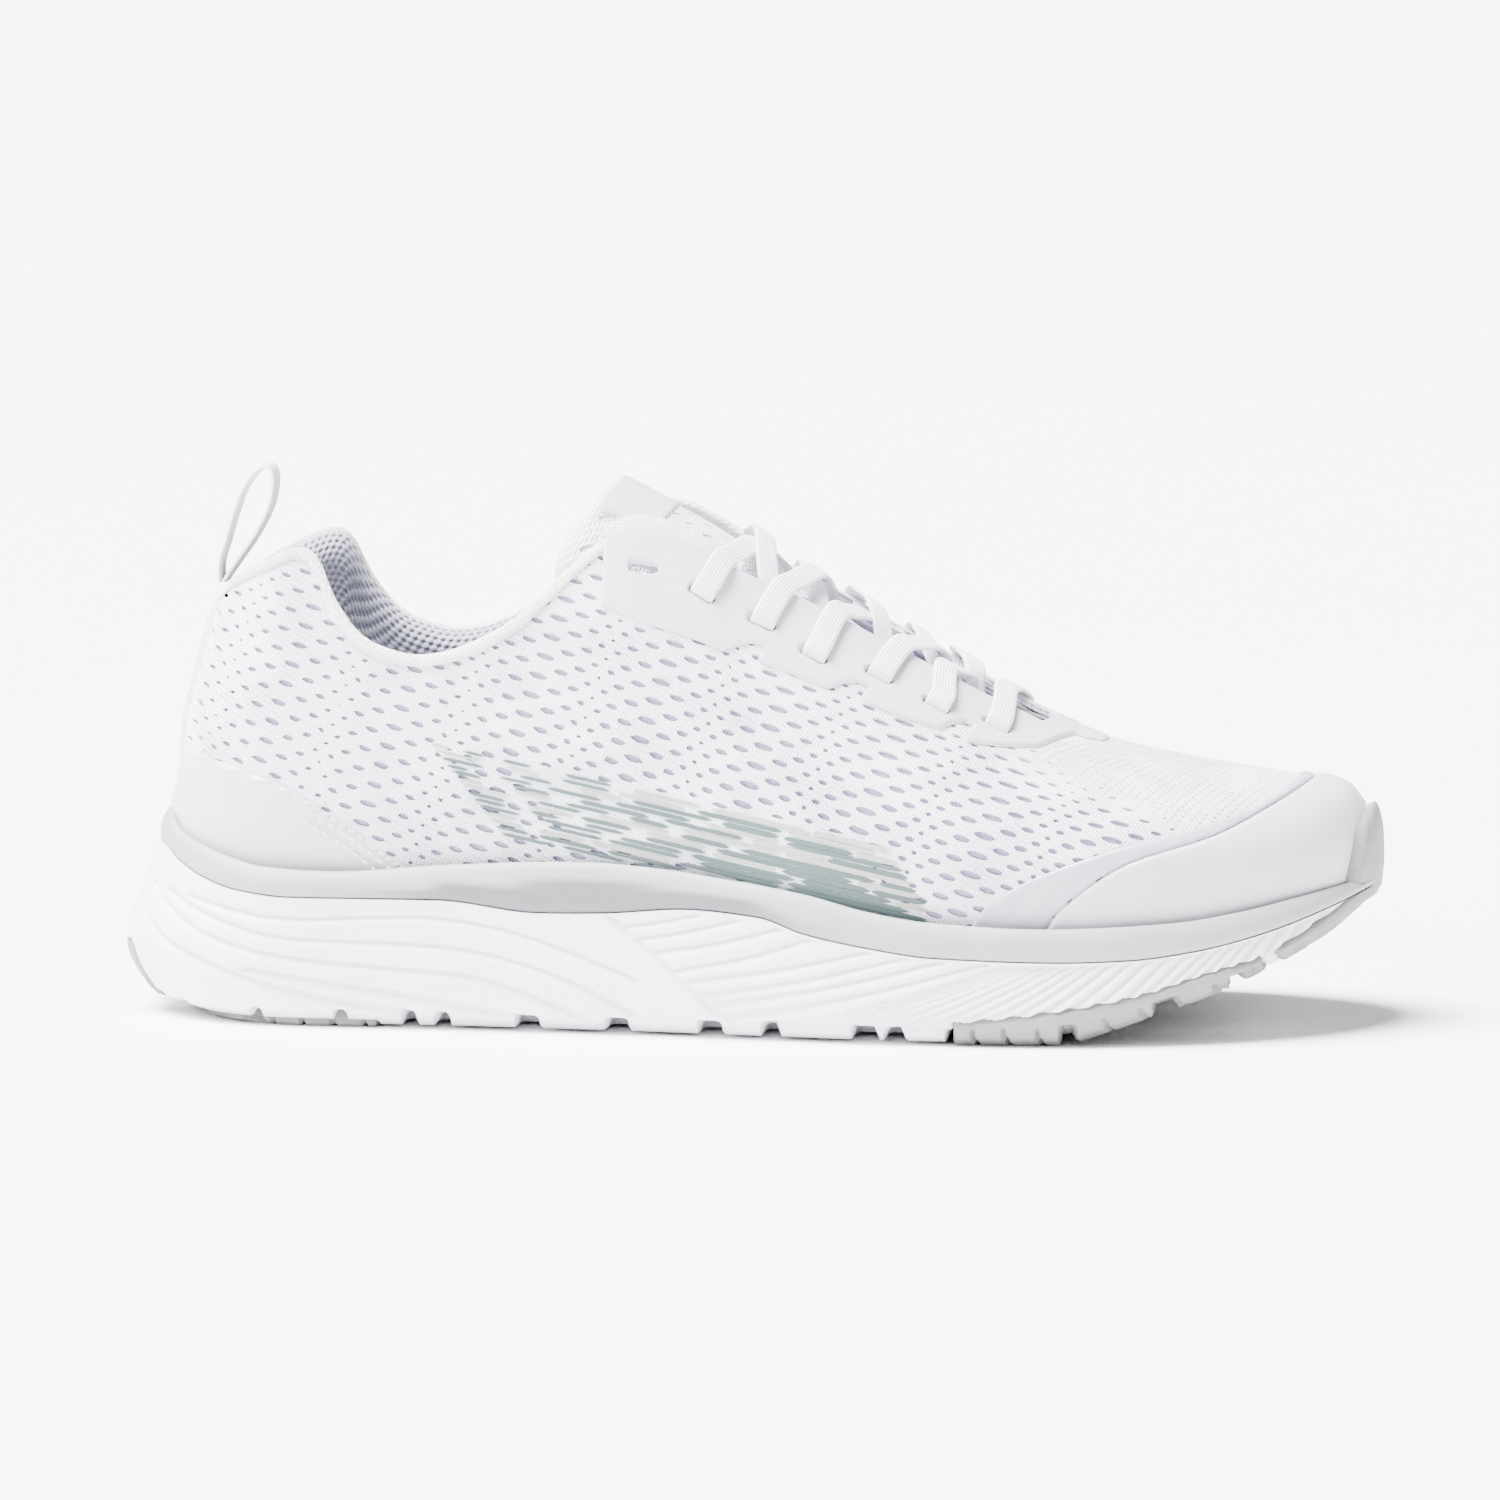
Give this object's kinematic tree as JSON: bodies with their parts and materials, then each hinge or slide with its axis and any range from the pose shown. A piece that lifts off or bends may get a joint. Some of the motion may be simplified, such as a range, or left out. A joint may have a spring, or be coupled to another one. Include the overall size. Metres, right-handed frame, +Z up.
{
  "type": "running shoe",
  "caption": "Right-foot running shoe with a layered mesh upper, padded collar, laced tongue, cupped foam midsole and separate rubber outsole pads.",
  "frame": {"origin": "centre of the footprint's box, on the ground", "axes": "+X to the toe, +Y to the inner (medial) side of the right foot, +Z up"},
  "size_m": [0.2988, 0.1114, 0.1295],
  "materials": {
    "mesh_white": "open engineered mesh",
    "lining_grey": "waffle mesh",
    "film_white": "satin film",
    "film_clear": "translucent film over mesh",
    "knit_white": "ribbed knit",
    "webbing_white": "woven webbing",
    "eva_white": "moulded foam skin",
    "rim_grey": "moulded foam skin",
    "rubber_grey": "matte moulded rubber",
    "board_fabric": "nonwoven",
    "insole_fabric": "knit top cloth on foam",
    "foam_fabric": "open-cell foam",
    "stiffener_plastic": "thermoformed sheet",
    "lace_white": "flat ribbed braid",
    "aglet_plastic": "clear-coated tip"
  },
  "bodies": {
    "shoe": {"midsole": "eva_white", "midsole_rim": "rim_grey", "outsole_heel_lateral": "rubber_grey", "outsole_heel_medial": "rubber_grey", "outsole_front_lateral": "rubber_grey", "outsole_front_centre": "rubber_grey", "outsole_front_medial": "rubber_grey", "outsole_toe": "rubber_grey", "strobel_board": "board_fabric", "insole": "insole_fabric", "upper_mesh": "mesh_white", "vamp_lining": "lining_grey", "collar_lining": "lining_grey", "collar_foam": "foam_fabric", "heel_counter": "stiffener_plastic", "toe_puff": "stiffener_plastic", "toe_cap": "film_white", "toe_film": "film_clear", "eyestay": "film_white", "eyestay_backing": "board_fabric", "heel_overlay": "film_white", "backstay_tape": "webbing_white", "collar_binding": "knit_white", "lace": "lace_white", "aglet_lateral": "aglet_plastic", "aglet_medial": "aglet_plastic"},
    "tongue": {"tongue_face": "mesh_white", "tongue_foam": "foam_fabric", "tongue_lining": "lining_grey", "tongue_tab": "film_white"},
    "heel_loop": {"pull_loop": "webbing_white"}
  },
  "joints": [
    {"name": "tongue_hinge", "type": "hinge", "parent": "shoe", "child": "tongue", "pos_m": [0.07315, 0.001, 0.064], "axis": [0, -1, 0], "range_deg": [0, 12], "stiffness_Nm_per_rad": 0.08, "springref_deg": -8.59},
    {"name": "pull_loop_swing", "type": "hinge", "parent": "shoe", "child": "heel_loop", "pos_m": [-0.12625, 0.0011, 0.1012], "axis": [0, 1, 0], "range_deg": [-70, 8], "stiffness_Nm_per_rad": 0.002}
  ]
}
